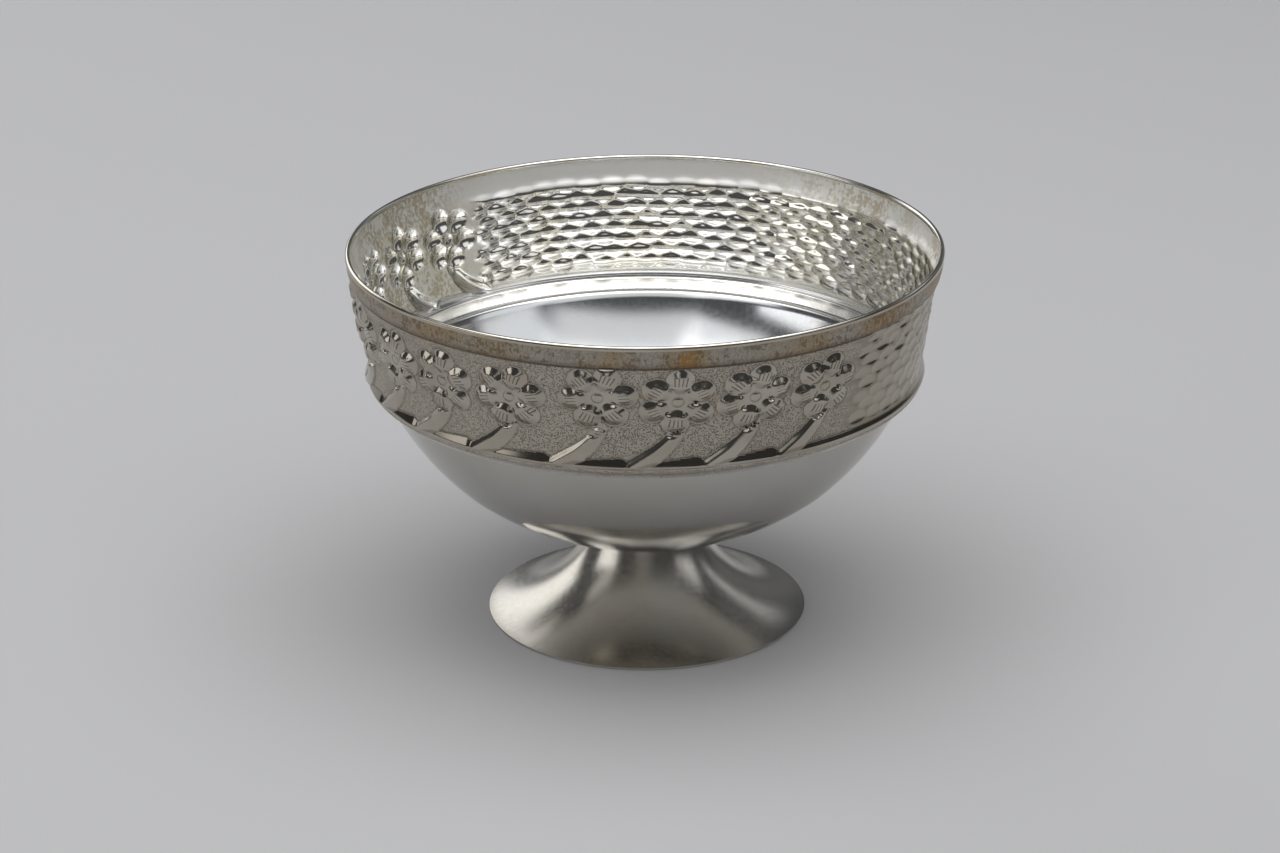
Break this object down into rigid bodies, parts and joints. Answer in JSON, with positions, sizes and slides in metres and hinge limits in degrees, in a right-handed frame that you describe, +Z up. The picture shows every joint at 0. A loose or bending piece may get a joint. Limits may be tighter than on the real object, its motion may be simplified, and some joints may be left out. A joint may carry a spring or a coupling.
{
  "type": "offering bowl",
  "caption": "Footed silver offering bowl: a deep dish on a trumpet foot, with an upright wall chased with blossoms on a branch for half of its round and hammered for the rest.",
  "frame": {"origin": "on the table at the centre of the foot", "axes": "+Z up along the bowl's axis of turning, -Y towards the front where the blossoms are, +X to the right as seen from the front"},
  "size_m": [0.16, 0.16, 0.1054],
  "materials": {
    "lip_wire": "polished silver wire, bright from handling",
    "chased_band": "chased silver sheet: polished high relief on a matt tarnished ground",
    "dish": "polished silver sheet with fine scratches",
    "foot": "polished silver sheet with a soft warm tarnish",
    "ledge_solder": "silver solder, filed smooth and dark in the corner",
    "neck_solder": "silver solder, filed smooth and dark in the corner"
  },
  "bodies": {
    "root": {"lip_wire": "lip_wire", "chased_band": "chased_band", "dish": "dish", "foot": "foot", "ledge_solder": "ledge_solder", "neck_solder": "neck_solder"}
  },
  "joints": []
}
